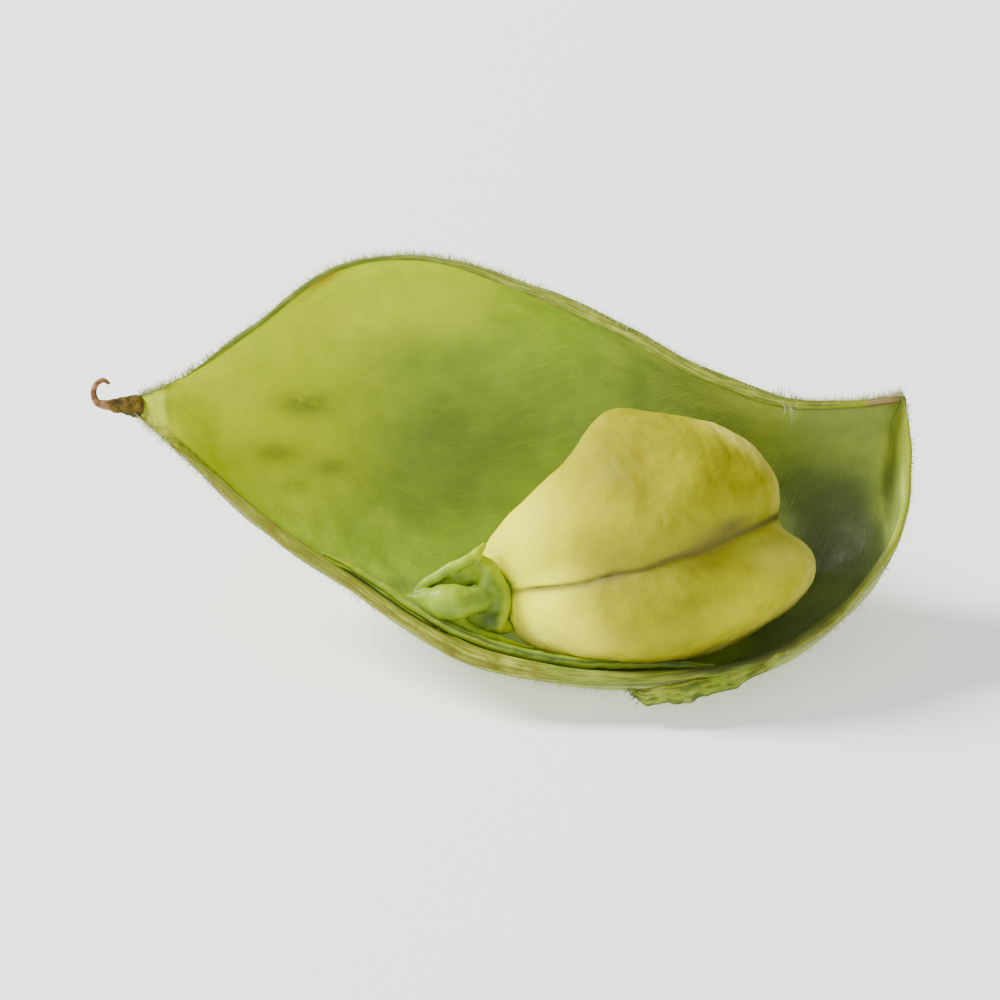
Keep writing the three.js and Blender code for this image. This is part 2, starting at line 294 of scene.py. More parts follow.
# ---- materials
class Shader:
    """A node material that is built up line by line. Colours are linear r, g, b."""

    def __init__(self, name, roughness, specular, **sockets):
        self.material = bpy.data.materials.new(name)
        self.material.use_nodes = True
        self.tree = self.material.node_tree
        self.surface = self.tree.nodes["Principled BSDF"]
        self.fill(self.surface, Roughness=roughness, Specular_IOR_Level=specular, **sockets)
        place = self.node("ShaderNodeTexCoord").outputs["Object"]
        self.millimetres = self.node("ShaderNodeVectorMath", "SCALE", Vector=place, Scale=1 / MM).outputs[0]

    def node(self, kind, operation=None, **inputs):
        node = self.tree.nodes.new(kind)
        if operation:
            node.operation = operation
        self.fill(node, **inputs)
        return node

    def fill(self, node, **inputs):
        for key, value in inputs.items():
            self.put(node.inputs[key.replace("_", " ")], value)

    def put(self, socket, value):
        if isinstance(value, bpy.types.NodeSocket):
            self.tree.links.new(value, socket)
        else:
            socket.default_value = (*value, 1.0) if socket.type == "RGBA" else value

    def attribute(self, name, output="Fac"):
        node = self.node("ShaderNodeAttribute")
        node.attribute_name = name
        return node.outputs[output]

    def noise(self, scale, detail=3.0, roughness=0.55, vector=None, distortion=0.0):
        node = self.node("ShaderNodeTexNoise", Scale=scale, Detail=detail, Roughness=roughness, Distortion=distortion)
        self.fill(node, Vector=vector or self.millimetres)
        return node.outputs["Fac"]

    def streaks(self, grain, stretch, detail, roughness, distortion):
        """Noise over a vector attribute that is multiplied by stretch."""
        place = self.node("ShaderNodeVectorMath", "MULTIPLY", Vector=self.attribute(grain, "Vector"))
        place.inputs[1].default_value = stretch
        return self.noise(1.0, detail, roughness, place.outputs[0], distortion)

    def times(self, a, b):
        node = self.node("ShaderNodeMath", "MULTIPLY")
        self.put(node.inputs[0], a)
        self.put(node.inputs[1], b)
        return node.outputs[0]

    def span(self, value, low, high, to_low=0.0, to_high=1.0):
        """to_low where the value is low, to_high where it is high, with a smooth step between them."""
        node = self.node("ShaderNodeMapRange", Value=value, From_Min=low, From_Max=high, To_Min=to_low, To_Max=to_high)
        node.interpolation_type = "SMOOTHSTEP"
        return node.outputs["Result"]

    def mix(self, factor, a, b):
        node = self.node("ShaderNodeMix")
        node.data_type = "RGBA"
        for index, value in ((0, factor), (6, a), (7, b)):  # the factor and the two colours
            self.put(node.inputs[index], value)
        return node.outputs[2]

    def shades(self, value, low, high, first, second):
        """The first colour where the value is low, the second where it is high."""
        return self.mix(self.span(value, low, high), first, second)

    def layered(self, tone, **layers):
        """The tone, with each named attribute's own colour over it."""
        for name, over in layers.items():
            tone = self.mix(self.attribute(name), tone, over)
        return tone

    def bumps(self, *layers):
        """Bumps one over another, each a height and how many millimetres it makes."""
        below = {}
        for height, distance in layers:
            node = self.node("ShaderNodeBump", Height=height, Distance=distance * MM, Strength=1.0, **below)
            below = {"Normal": node.outputs["Normal"]}
        return below["Normal"]

    def finish(self, tone, roughness=None, normal=None, translucent=None, glow_tone=None):
        """The material, with a share of it that lets light through in glow_tone."""
        bumped = {} if normal is None else {"Normal": normal}
        self.fill(self.surface, Base_Color=tone, **bumped)
        if roughness is not None:
            self.fill(self.surface, Roughness=roughness)
        if translucent is not None:
            glow = self.node("ShaderNodeBsdfTranslucent", Color=glow_tone, **bumped)
            both = self.node("ShaderNodeMixShader", Fac=translucent)
            self.put(both.inputs[1], self.surface.outputs[0])
            self.put(both.inputs[2], glow.outputs[0])
            self.fill(self.tree.nodes["Material Output"], Surface=both.outputs[0])
        return self.material


def inner_skin_material():
    m = Shader("pod_inner_skin", 0.42, 0.13)
    mottle = m.noise(0.55, 4.0, 0.6)
    cells = m.noise(5.0, 3.0, 0.6)
    fibre = m.streaks("grain", (0.5, 6.0, 1.0), 4.0, 0.62, 0.3)
    # painted shade: dark green standing for the seed's shadow in the far end of the hollow and under the seed
    cup_tone = m.shades(mottle, 0.3, 0.7, (0.06, 0.082, 0.043), (0.088, 0.116, 0.052))
    tone = m.layered(
        m.shades(mottle, 0.32, 0.68, (0.3, 0.45, 0.034), (0.43, 0.61, 0.036)),
        cool=m.shades(mottle, 0.32, 0.68, (0.3, 0.38, 0.1), (0.44, 0.52, 0.13)),
        # painted light: the wall brighter and yellower where light falls on it
        sunny=m.shades(mottle, 0.3, 0.7, (0.6, 0.74, 0.004), (0.72, 0.84, 0.004)),
    )
    # painted shade: darker green where the hollow is deep and lies in shadow
    tone = m.mix(m.times(m.attribute("deep"), 0.6), tone, (0.135, 0.195, 0.075))
    tone = m.layered(tone, cup=cup_tone)
    blotches = m.times(m.attribute("blotch"), m.span(m.noise(1.1, 3.0, 0.6), 0.24, 0.48))
    tone = m.mix(blotches, tone, (0.13, 0.17, 0.03))
    pale_fibre = m.times(m.span(fibre, 0.5, 0.78, 0.0, 0.2), m.span(m.attribute("cup"), 0.0, 0.8, 1.0, 0.15))
    tone = m.mix(pale_fibre, tone, (0.7, 0.8, 0.03))
    tone = m.mix(m.span(cells, 0.55, 0.75, 0.0, 0.18), tone, (0.22, 0.32, 0.008))
    rim_side = m.mix(m.attribute("dorsal"), (0.4, 0.5, 0.02), (0.1, 0.16, 0.012))
    tone = m.mix(m.span(m.attribute("from_edge"), 0.03, 0.2, 0.75, 0.0), tone, rim_side)
    tone = m.layered(
        tone,
        # painted shade in the crease between the ventral edge and the strand
        crevice=(0.036, 0.048, 0.03),
        pale=m.shades(mottle, 0.35, 0.65, (0.3, 0.38, 0.008), (0.45, 0.53, 0.03)),
        left_band=m.shades(m.noise(4.5, 4.0, 0.7), 0.36, 0.66, (0.2, 0.22, 0.012), (0.42, 0.46, 0.04)),
        right_end=(0.17, 0.21, 0.02),
        # painted shade in the far end of the hollow
        far_end=(0.048, 0.062, 0.022),
        # painted shadow of the seed on the ventral lip
        inner_lip=(0.04, 0.05, 0.028),
        rust=(0.42, 0.22, 0.015),
        scar=(0.2, 0.11, 0.04),
    )
    bump = m.bumps((fibre, 0.03), (m.noise(1.1, 3.0, 0.5), 0.06), (cells, 0.01))
    rough = m.span(m.noise(2.2, 3.0, 0.6), 0.3, 0.7, 0.34, 0.5)
    return m.finish(tone, rough, bump, 0.1, (0.5, 0.65, 0.02))


def outer_skin_material():
    m = Shader("pod_outer_skin", 0.62, 0.2, Sheen_Weight=0.15, Sheen_Roughness=0.45, Sheen_Tint=(0.8, 0.88, 0.5))
    veins = m.streaks("grain", (0.35, 2.6, 1.0), 3.0, 0.6, 0.5)
    specks = m.noise(7.0, 3.0, 0.7)
    tone = m.shades(m.noise(0.5, 5.0, 0.62), 0.3, 0.7, (0.23, 0.32, 0.02), (0.38, 0.46, 0.045))
    tone = m.mix(m.span(veins, 0.5, 0.72, 0.0, 0.35), tone, (0.13, 0.22, 0.012))
    tone = m.mix(m.span(specks, 0.56, 0.72, 0.0, 0.3), tone, (0.52, 0.6, 0.12))
    tone = m.mix(m.span(m.attribute("from_edge"), 0.1, 0.9, 0.5, 0.0), tone, (0.5, 0.56, 0.12))
    # painted shade along the outer side of the ventral edge
    tone = m.layered(tone, suture=(0.09, 0.11, 0.008), pale=(0.46, 0.52, 0.1))
    rough = m.span(specks, 0.3, 0.7, 0.7, 0.54)
    return m.finish(tone, rough, m.bumps((veins, 0.05), (specks, 0.02)), 0.1, (0.5, 0.6, 0.05))


def shred_material():
    m = Shader("torn_skin", 0.6, 0.35)
    streak = m.streaks("grain", (0.8, 3.2, 1.0), 4.0, 0.65, 0.6)
    tone = m.shades(streak, 0.38, 0.64, (0.1, 0.14, 0.01), (0.33, 0.42, 0.02))
    tone = m.mix(m.span(m.noise(1.2, 4.0, 0.6), 0.48, 0.66, 0.0, 0.7), tone, (0.28, 0.46, 0.01))
    tone = m.mix(m.span(m.attribute("from_edge"), 0.42, 0.6, 0.75, 0.0), tone, (0.05, 0.07, 0.01))
    tone = m.layered(tone, pale=(0.4, 0.45, 0.07))
    rough = m.span(streak, 0.3, 0.7, 0.65, 0.5)
    return m.finish(tone, rough, m.bumps((streak, 0.06)), 0.1, (0.4, 0.5, 0.02))


def rim_material():
    m = Shader("pod_split_edge", 0.55, 0.18)
    streak = m.streaks("rim_grain", (0.9, 7.0, 1.0), 4.0, 0.65, 0.5)
    brown = m.noise(1.3, 4.0, 0.65)
    tone = m.shades(streak, 0.38, 0.66, (0.18, 0.22, 0.016), (0.5, 0.56, 0.07))
    tone = m.mix(m.span(brown, 0.5, 0.66, 0.0, 0.65), tone, (0.2, 0.17, 0.01))
    line = m.times(m.attribute("rim_line"), m.span(brown, 0.3, 0.6, 0.3, 0.85))
    tone = m.layered(
        m.mix(line, tone, (0.15, 0.14, 0.015)),
        green_rim=m.shades(streak, 0.36, 0.64, (0.12, 0.17, 0.02), (0.3, 0.38, 0.04)),
        bright_rim=(0.34, 0.42, 0.012),
        old_rim=(0.17, 0.185, 0.012),
        # painted shadow of the seed on the ventral lip
        inner_lip=(0.05, 0.062, 0.02),
        scar=m.shades(streak, 0.4, 0.6, (0.2, 0.1, 0.04), (0.5, 0.34, 0.2)),
    )
    rough = m.span(brown, 0.3, 0.7, 0.6, 0.45)
    return m.finish(tone, rough, m.bumps((streak, 0.05)), 0.1, (0.6, 0.62, 0.06))


def seed_material():
    m = Shader("fresh_seed_coat", 0.48, 0.05)
    m.fill(m.surface, Subsurface_Weight=0.1, Subsurface_Scale=0.0006, Subsurface_Radius=(1.0, 0.9, 0.1))
    broad = m.noise(0.32, 3.0, 0.5)
    mottle = m.noise(1.3, 4.0, 0.62)
    tone = m.shades(broad, 0.35, 0.65, (0.37, 0.355, 0.003), (0.46, 0.44, 0.003))
    tone = m.mix(m.span(mottle, 0.5, 0.72, 0.0, 0.4), tone, (0.53, 0.515, 0.0))
    tone = m.mix(m.span(mottle, 0.5, 0.3, 0.0, 0.4), tone, (0.3, 0.285, 0.0))
    tone = m.layered(
        tone,
        # a darker, more golden tone around the seed's middle
        ripe=m.shades(broad, 0.35, 0.65, (0.22, 0.21, 0.008), (0.32, 0.305, 0.006)),
        beak=(0.84, 0.83, 0.012),
        # painted light: the seed's lower left kept bright where it turns away from the lamp
        lower_left=(0.86, 0.83, 0.05),
        # painted light: a pale, bluer tone on the seed's sides that face away from the lamps
        turned_away=(0.88, 0.83, 0.13),
        # painted shade on the lobes' slopes into the groove
        valley=(0.2, 0.185, 0.02),
        # a dark line along the groove, with painted shade either side of it
        near_groove=(0.145, 0.135, 0.018),
        brown=(0.13, 0.118, 0.02),
        cap=m.shades(mottle, 0.35, 0.65, (0.13, 0.22, 0.03), (0.22, 0.33, 0.03)),
    )
    bump = m.bumps((m.noise(0.9, 3.0, 0.55), 0.11), (m.noise(3.2, 3.0, 0.6), 0.03), (m.noise(9.0, 3.0, 0.6), 0.006))
    return m.finish(tone, m.span(mottle, 0.3, 0.7, 0.42, 0.55), bump)


def moist_material(name, dark, light, roughness):
    m = Shader(name, roughness, 0.15, Coat_Weight=0.06, Coat_Roughness=0.12)
    mottle = m.noise(1.1, 3.0, 0.6)
    tone = m.shades(mottle, 0.35, 0.65, dark, light)
    # the shade and light attributes lay painted shade and painted highlights over the tone
    tone = m.layered(tone, shade=(0.065, 0.105, 0.032), light=(0.41, 0.54, 0.002))
    rough = m.span(mottle, 0.3, 0.7, roughness, roughness + 0.14)
    return m.finish(tone, rough, m.bumps((m.noise(3.0, 3.0, 0.6), 0.03)), 0.1, light)


def style_material():
    m = Shader("dried_style", 0.75, 0.12)
    streak = m.noise(2.2, 4.0, 0.65)
    tone = m.layered(
        m.shades(streak, 0.35, 0.65, (0.04, 0.027, 0.004), (0.17, 0.118, 0.015)),
        thread=m.shades(streak, 0.4, 0.6, (0.13, 0.055, 0.02), (0.32, 0.18, 0.075)),
        # painted shade on the style's underside
        underside=(0.02, 0.02, 0.004),
    )
    return m.finish(tone, normal=m.bumps((m.noise(5.0, 4.0, 0.7), 0.06)))


def hair_material(name, tint):
    m = Shader(name, 0.45, 0.5)
    tone = m.shades(m.noise(2.0), 0.35, 0.65, tint, (0.84, 0.86, 0.62))
    return m.finish(tone, translucent=0.35, glow_tone=(0.84, 0.86, 0.6))


# ---- the valve
# shares of the length where the hollow starts, is full, fades and ends
HOLLOW = (0.056, 0.14, 0.96, 0.984)
ACROSS = 128  # quads from edge to edge, on each side of the skin
RIM = 9  # points round the split edge
FAR = 9  # a distance in millimetres that is far from both edges
GRAIN_LEAN = math.radians(35)  # of the inner skin's fibres, from the length
BEAK_SLANT = 0.725  # distance from the beak's lower edge for each millimetre across


def valve_rows():
    """Shares of the length for the rows, closer together at both ends and where the hollow starts."""
    runs = [(0, 0.048, 8), (0.048, 0.098, 16), (0.098, 0.952, 226), (0.952, 1, 14)]
    return np.unique(np.concatenate([np.linspace(*run) for run in runs]).round(6))


# Thickness of the split edge and height of its keel, at shares of the length.
EDGE_SHARES = [0, 0.1, 0.22, 0.32, 0.38, 0.43, 0.48, 0.54, 0.62, 0.72, 0.84, 0.93, 1]
VENTRAL_EDGE = [0.3, 0.34, 0.34, 0.3, 0.36, 0.38, 0.34, 0.28, 0.24, 0.22, 0.2, 0.18, 0.14]
DORSAL_EDGE = [0.14, 0.12, 0.12, 0.15, 0.21, 0.26, 0.3, 0.32, 0.34, 0.3, 0.2, 0.16, 0.12]
VENTRAL_KEEL = [0, 0.06, 0.12, 0.14, 0.26, 0.3, 0.2, 0.1, 0.06, 0.05, 0.04, 0.02, 0]
DORSAL_KEEL = [0, 0, 0, 0.03, 0.06, 0.09, 0.11, 0.12, 0.12, 0.1, 0.04, 0, 0]


def at_edge(u, values):
    return np.interp(u, EDGE_SHARES, values)


def sheet_points(u, s, side):
    """Points of the outer or inner side of the skin with its natural unevenness, and their distances to the edges."""
    points, normal = skin(u, s), skin_normal(u, s)
    around = np.linalg.norm(np.diff(points, axis=1), axis=-1)
    from_ventral = np.concatenate([np.zeros((len(points), 1)), np.cumsum(around, 1)], 1)
    from_dorsal = from_ventral[:, -1:] - from_ventral
    middle = within(u, 0.04, 0.14, 0.93, 1.0)
    uneven = middle * (0.05 * waves(points, 6.5, 3) + 0.022 * waves(points, 2.2, 4))
    if side == "outer":
        keel = at_edge(u, VENTRAL_KEEL) * (bell(from_ventral, 0, 0.5) - 0.25 * bell(from_ventral, 1.1, 0.4))
        keel += at_edge(u, DORSAL_KEEL) * (bell(from_dorsal, 0, 0.45) - 0.25 * bell(from_dorsal, 1.0, 0.4))
        return pressed(points + normal * (uneven + keel * middle)[..., None], 0), from_ventral, from_dorsal
    # a ridge and a furrow run along the strand
    strand = within(u, 0.235, 0.27, 0.56, 0.6)
    ridge = 0.2 * strand * bell(from_ventral, 0.55, 0.16) - 0.13 * strand * bell(from_ventral, 0.26, 0.12)
    inset = wall_at(s) * (0.5 + 0.5 * smooth(u, 0.0, 0.12)) - uneven + ridge
    inset = lerp(inset, at_edge(u, VENTRAL_EDGE) + ridge, bell(from_ventral, 0, 0.6))
    inset = lerp(inset, at_edge(u, DORSAL_EDGE), bell(from_dorsal, 0, 0.6))
    inside = pressed(points - normal * inset[..., None], WALL * 0.9)
    # outside the hollow the beak and the corner are solid, up to a slightly domed lid
    v = spline(STATIONS, u)
    share = (1 - np.cos(np.pi * s)) / 2
    lid = lerp(v[..., 0:3], v[..., 3:6], share[..., None])
    lid[..., 2] += 0.12 * np.sin(np.pi * share) * (v[..., 4] - v[..., 1]) - 0.03
    return lerp(lid, inside, within(u, *HOLLOW)[..., None]), from_ventral, from_dorsal


def rim_points(rows, outer_end, inner_end, outward, seed):
    """The ragged split edge, rounded from the outer side's last points to the inner side's."""
    arcs = np.linspace(0, np.pi, RIM + 2)[1:-1]
    middle, half = (outer_end + inner_end) / 2, (outer_end - inner_end) / 2
    thickness = np.linalg.norm(half, axis=-1) * 2
    ragged = np.minimum(0.11, 0.4 * thickness) * (1 + 0.3 * waves(outer_end, 1.1, seed, 3))
    ragged *= within(rows, 0.0, 0.05, 0.97, 1.0)
    return (
        middle[:, None]
        + half[:, None] * np.cos(arcs)[None, :, None]
        + (outward * ragged[:, None])[:, None] * np.sin(arcs)[None, :, None]
    )


def around_loop(outer_values, dorsal_value, inner_values, ventral_value):
    """Values of the valve's points, from those of its two sides and of its two split edges."""
    tall = np.ones((len(outer_values), RIM))
    grid = np.concatenate([outer_values, dorsal_value * tall, inner_values[:, ::-1], ventral_value * tall], axis=1)
    return np.append(grid.ravel(), [grid[0].mean(), grid[-1].mean()])


def valve_tones(points, s, inward, outer_v, outer_d, inner_v, inner_d):
    """Attributes of the valve's points. The distances to the ventral and dorsal edge end in v and d."""
    x = points[:, 0]
    view_y = points[:, 1] * math.cos(VIEW_TILT) + points[:, 2] * math.sin(VIEW_TILT)
    dorsal = around_loop(smooth(s, 0.4, 0.6), 1, smooth(s, 0.4, 0.6), 0)
    ventral = 1 - dorsal
    around = around_loop(outer_v, 0, inner_v, 0)
    rim_share = np.linspace(0, 1, RIM)
    rim_across = around_loop(np.zeros_like(s), rim_share, np.ones_like(s), rim_share[::-1])
    along_grain = x * math.cos(GRAIN_LEAN) + around * math.sin(GRAIN_LEAN)
    across_grain = around * math.cos(GRAIN_LEAN) - x * math.sin(GRAIN_LEAN)
    blotch = spots(x, view_y, [(0.75, 5.8, 0.05, 1.1, 0.45), (0.55, 4.8, -1.7, 0.9, 0.4)])
    blotch += spots(x, view_y, [(0.5, 6.7, -2.2, 0.7, 0.35), (0.4, 5.4, -2.9, 0.6, 0.3)])
    # painted shade in the deep middle of the hollow, under the dorsal edge, in the upper right, and in the shadow left
    # of the stalk
    deep = spots(x, view_y, [(0.85, 10.8, -2.4, 3.2, 2.3), (0.5, 18.4, 0.3, 2.2, 1.3), (0.45, 12.5, -0.2, 3.6, 1.7)])
    deep += 0.9 * smooth(x, 22.0, 24.0) * smooth(view_y, -2.2, -0.6)
    deep *= smooth(around_loop(inner_v, FAR, inner_v, 0), 0.2, 1.0)
    deep += spots(x, view_y, [(0.9, 9.2, -6.4, 1.1, 0.36)])
    # painted shadow of the seed, under it and in the far end of the hollow
    below_seed = smooth(x, 11.1, 12.1) * smooth(view_y, -6.9, -7.6)
    cup = within(x, 21.5, 23.6, 25.0, 26.7) * smooth(view_y, -0.9, -3.6) * lerp(0.86, 1.15, smooth(x, 22.5, 25.0))
    cup = np.clip(np.maximum(cup, below_seed), 0, 1)
    # painted shade in the hollow's far end, and a darker band along the end's edge
    far_end = 0.92 * within(x, 23.0, 24.2, 26.1, 26.8) * within(view_y, -6.6, -5.4, -4.6, -3.0)
    end_line = 0.6 * within(x, 26.1, 26.4, 26.75, 26.95) * smooth(view_y, -1.5, -2.6)
    # painted light on the lit left part of the wall and its top, a little in the upper right and at the right end
    sunny = smooth(x, 10.5, 5) * smooth(view_y, -5.6, -1.0) + bell(x, 9.5, 3) * smooth(view_y, 1.5, 4)
    sunny += 0.25 * smooth(x, 20.5, 22.5) * smooth(view_y, -3.0, -0.8) + 0.15 * smooth(x, 25.6, 26.4)
    green_rim = dorsal * (0.5 + smooth(x, 11, 8))
    green_rim += ventral * (0.6 * smooth(x, 3.5, 1.5) + 0.85 * within(x, 13, 15.5, 20, 23))
    # painted shadow of the seed on the inner side and edge of the ventral lip
    inner_lip = lerp(0.92, 0.75, smooth(x, 22.5, 24.0)) * ventral * within(x, 18.4, 19.8, 26.2, 26.6)
    old_rim = np.maximum(0.8 * smooth(x, 13.5, 11.5) * smooth(rim_across, 0.45, 0.95), 0.6 * smooth(x, 8.0, 6.5))
    dorsal_edge = smooth(around_loop(inner_d, 0, inner_d, FAR), 0.75, 0.1)
    dorsal_scar = smooth(around_loop(inner_d + 1, 0, inner_d, FAR), 0.3, 0.05)
    return {
        "from_edge": around_loop(np.minimum(outer_v, outer_d), 0, np.minimum(inner_v, inner_d), 0),
        "dorsal": dorsal,
        "grain": np.stack([along_grain, across_grain, np.zeros_like(x)], -1),
        "blotch": np.clip(blotch, 0, 1),
        "deep": np.clip(deep, 0, 1),
        "cool": 0.8 * smooth(x, 14, 20.5),
        "cup": cup * lerp(0.85, 0.74, smooth(x, 21.8, 23.0) * smooth(view_y, -5.4, -6.6)),
        "pale": 0.9 * smooth(x, 1.3, 1.0),
        # painted shade in the crease between the ventral edge and the strand
        "crevice": 0.95 * within(around, 0.02, 0.1, 0.46, 0.66) * within(x, 5.5, 7.5, 19, 22),
        "sunny": np.clip(sunny, 0, 1),
        "left_band": smooth(inward, 0.46, 0.3) * smooth(x, 6.0, 4.0),
        "right_end": 0.8 * smooth(x, 26.1, 26.7) * smooth(view_y, -3.4, -1.8),
        "far_end": np.maximum(far_end, end_line),
        "rust": 0.85 * bell(x, 6.5, 0.6) * dorsal_edge,
        "scar": 0.8 * within(x, 25.5, 25.8, 26.7, 26.95) * dorsal_scar,
        # painted shade along the outer side of the ventral edge
        "suture": 0.85 * ventral * smooth(around, 0.75, 0.35),
        "green_rim": np.clip(green_rim, 0, 1),
        "bright_rim": 0.8 * smooth(x, 23.5, 26),
        "inner_lip": inner_lip * smooth(rim_across, 0.0, 0.6) * smooth(around, 0.9, 0.3),
        "old_rim": ventral * old_rim,
        "rim_grain": np.stack([x, rim_across, np.zeros_like(x)], -1),
        "rim_line": bell(rim_across, 0.25, 0.2),
    }


def valve_mesh():
    """The skin as one closed loop a row: its outer side, the dorsal edge, its inner side and the ventral edge."""
    rows, even = valve_rows(), np.linspace(0, 1, ACROSS + 1)
    shares = lerp(even, (1 - np.cos(np.pi * even)) / 2, 0.35)
    u, s = np.meshgrid(rows, shares, indexing="ij")
    outer, outer_v, outer_d = sheet_points(u, s, "outer")
    inner, inner_v, inner_d = sheet_points(u, s, "inner")
    dorsal_rim = rim_points(rows, outer[:, -1], inner[:, -1], unit(outer[:, -1] - outer[:, -3]), 21)
    ventral_rim = rim_points(rows, outer[:, 0], inner[:, 0], unit(outer[:, 0] - outer[:, 2]), 22)[:, ::-1]
    loop = np.concatenate([outer, dorsal_rim, inner[:, ::-1], ventral_rim], axis=1)
    count, size = loop.shape[:2]
    points = np.vstack([loop.reshape(-1, 3), loop[0].mean(0), loop[-1].mean(0)])
    ventral_y = spline(STATIONS, rows)[:, 1][:, None]
    inward = np.append(BEAK_SLANT * (loop[..., 1] - ventral_y).ravel(), [0, 0])
    # materials of the quads: 0 outer skin, 1 split edge, 2 inner skin
    column = np.tile(np.arange(size), count - 1)
    kinds = np.where(column >= ACROSS, 1, 0)
    kinds[(column > ACROSS + RIM) & (column < 2 * ACROSS + RIM + 1)] = 2
    kinds = np.append(kinds, np.zeros(2 * size, int))
    tones = valve_tones(points, s, inward, outer_v, outer_d, inner_v, inner_d)
    return points, turned_over(tube_faces(count, size)), tones, kinds


valve = mesh_object("valve", [outer_skin_material(), rim_material(), inner_skin_material()], *valve_mesh())
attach(valve, "root")
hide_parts("pod_valve")

# ---- the seed
# place of the seed's own frame in the pod frame; its x runs from the stalk, its z faces the camera
SEAT_PLACE = np.array([18.0, -4.96, -0.25])
SEAT_TURN = math.radians(15)
# middle, half axes and turn in degrees
ELLIPSOIDS = [
    ((0.9, 0.65, 0), (4.1, 3.45, 3.75), -16),
    ((0.05, -1.95, 0), (5.35, 2.3, 3.3), -3.5),
    ((-1.4, 0.5, -0.45), (4.7, 2.75, 2.15), 12.7),
]
SEED_BLEND = 14
SEED_RINGS, SEED_SIDES = 170, 230
# height, place and spread in degrees of the humps on its outline
HUMPS = [(0.68, 94.5, 17), (0.07, 126, 11), (0.24, 170, 8)]
# the edge of the stalk's green cap on the seed, as y and x in the seed's own frame
CAP_EDGE = ([-2.02, -1.68, -1.0, -0.5, -0.25, 0.15, 0.65, 1.1], [-5.41, -5.5, -5.32, -5.26, -5.1, -5.38, -5.7, -5.9])


def from_seat(points):
    """From the seed's own frame to the pod frame."""
    return turned(turned(points, SEAT_TURN, X, Y), VIEW_TILT, Y, Z) + SEAT_PLACE


def seed_reach(direction):
    """How far the seed reaches in each direction: the blended ellipsoids and the humps."""
    total = 0
    for middle, half, turn in ELLIPSOIDS:
        d = turned(direction, -math.radians(turn), X, Y) / half
        m = turned(np.array(middle, float), -math.radians(turn), X, Y) / half
        a, b = (d * d).sum(-1), d @ m
        total = total + ((b + np.sqrt(b * b - a * (m @ m - 1))) / a) ** SEED_BLEND
    reach = total ** (1 / SEED_BLEND)
    for height, at, spread in HUMPS:
        top = np.array([math.cos(math.radians(at)), math.sin(math.radians(at)), 0])
        reach = reach + height * bell(np.arccos(np.clip(direction @ top, -1, 1)), 0, math.radians(spread))
    return reach


def evened(reach, rounds):
    """The reach, averaged with its neighbours again and again."""
    soft = reach[:-2].reshape(SEED_RINGS - 1, SEED_SIDES)
    for _ in range(rounds):
        padded = np.vstack([soft[:1], soft, soft[-1:]])
        soft = (padded[:-2] + padded[2:] + np.roll(soft, 1, 1) + np.roll(soft, -1, 1)) / 4
    return np.append(soft.ravel(), [soft[0].mean(), soft[-1].mean()])


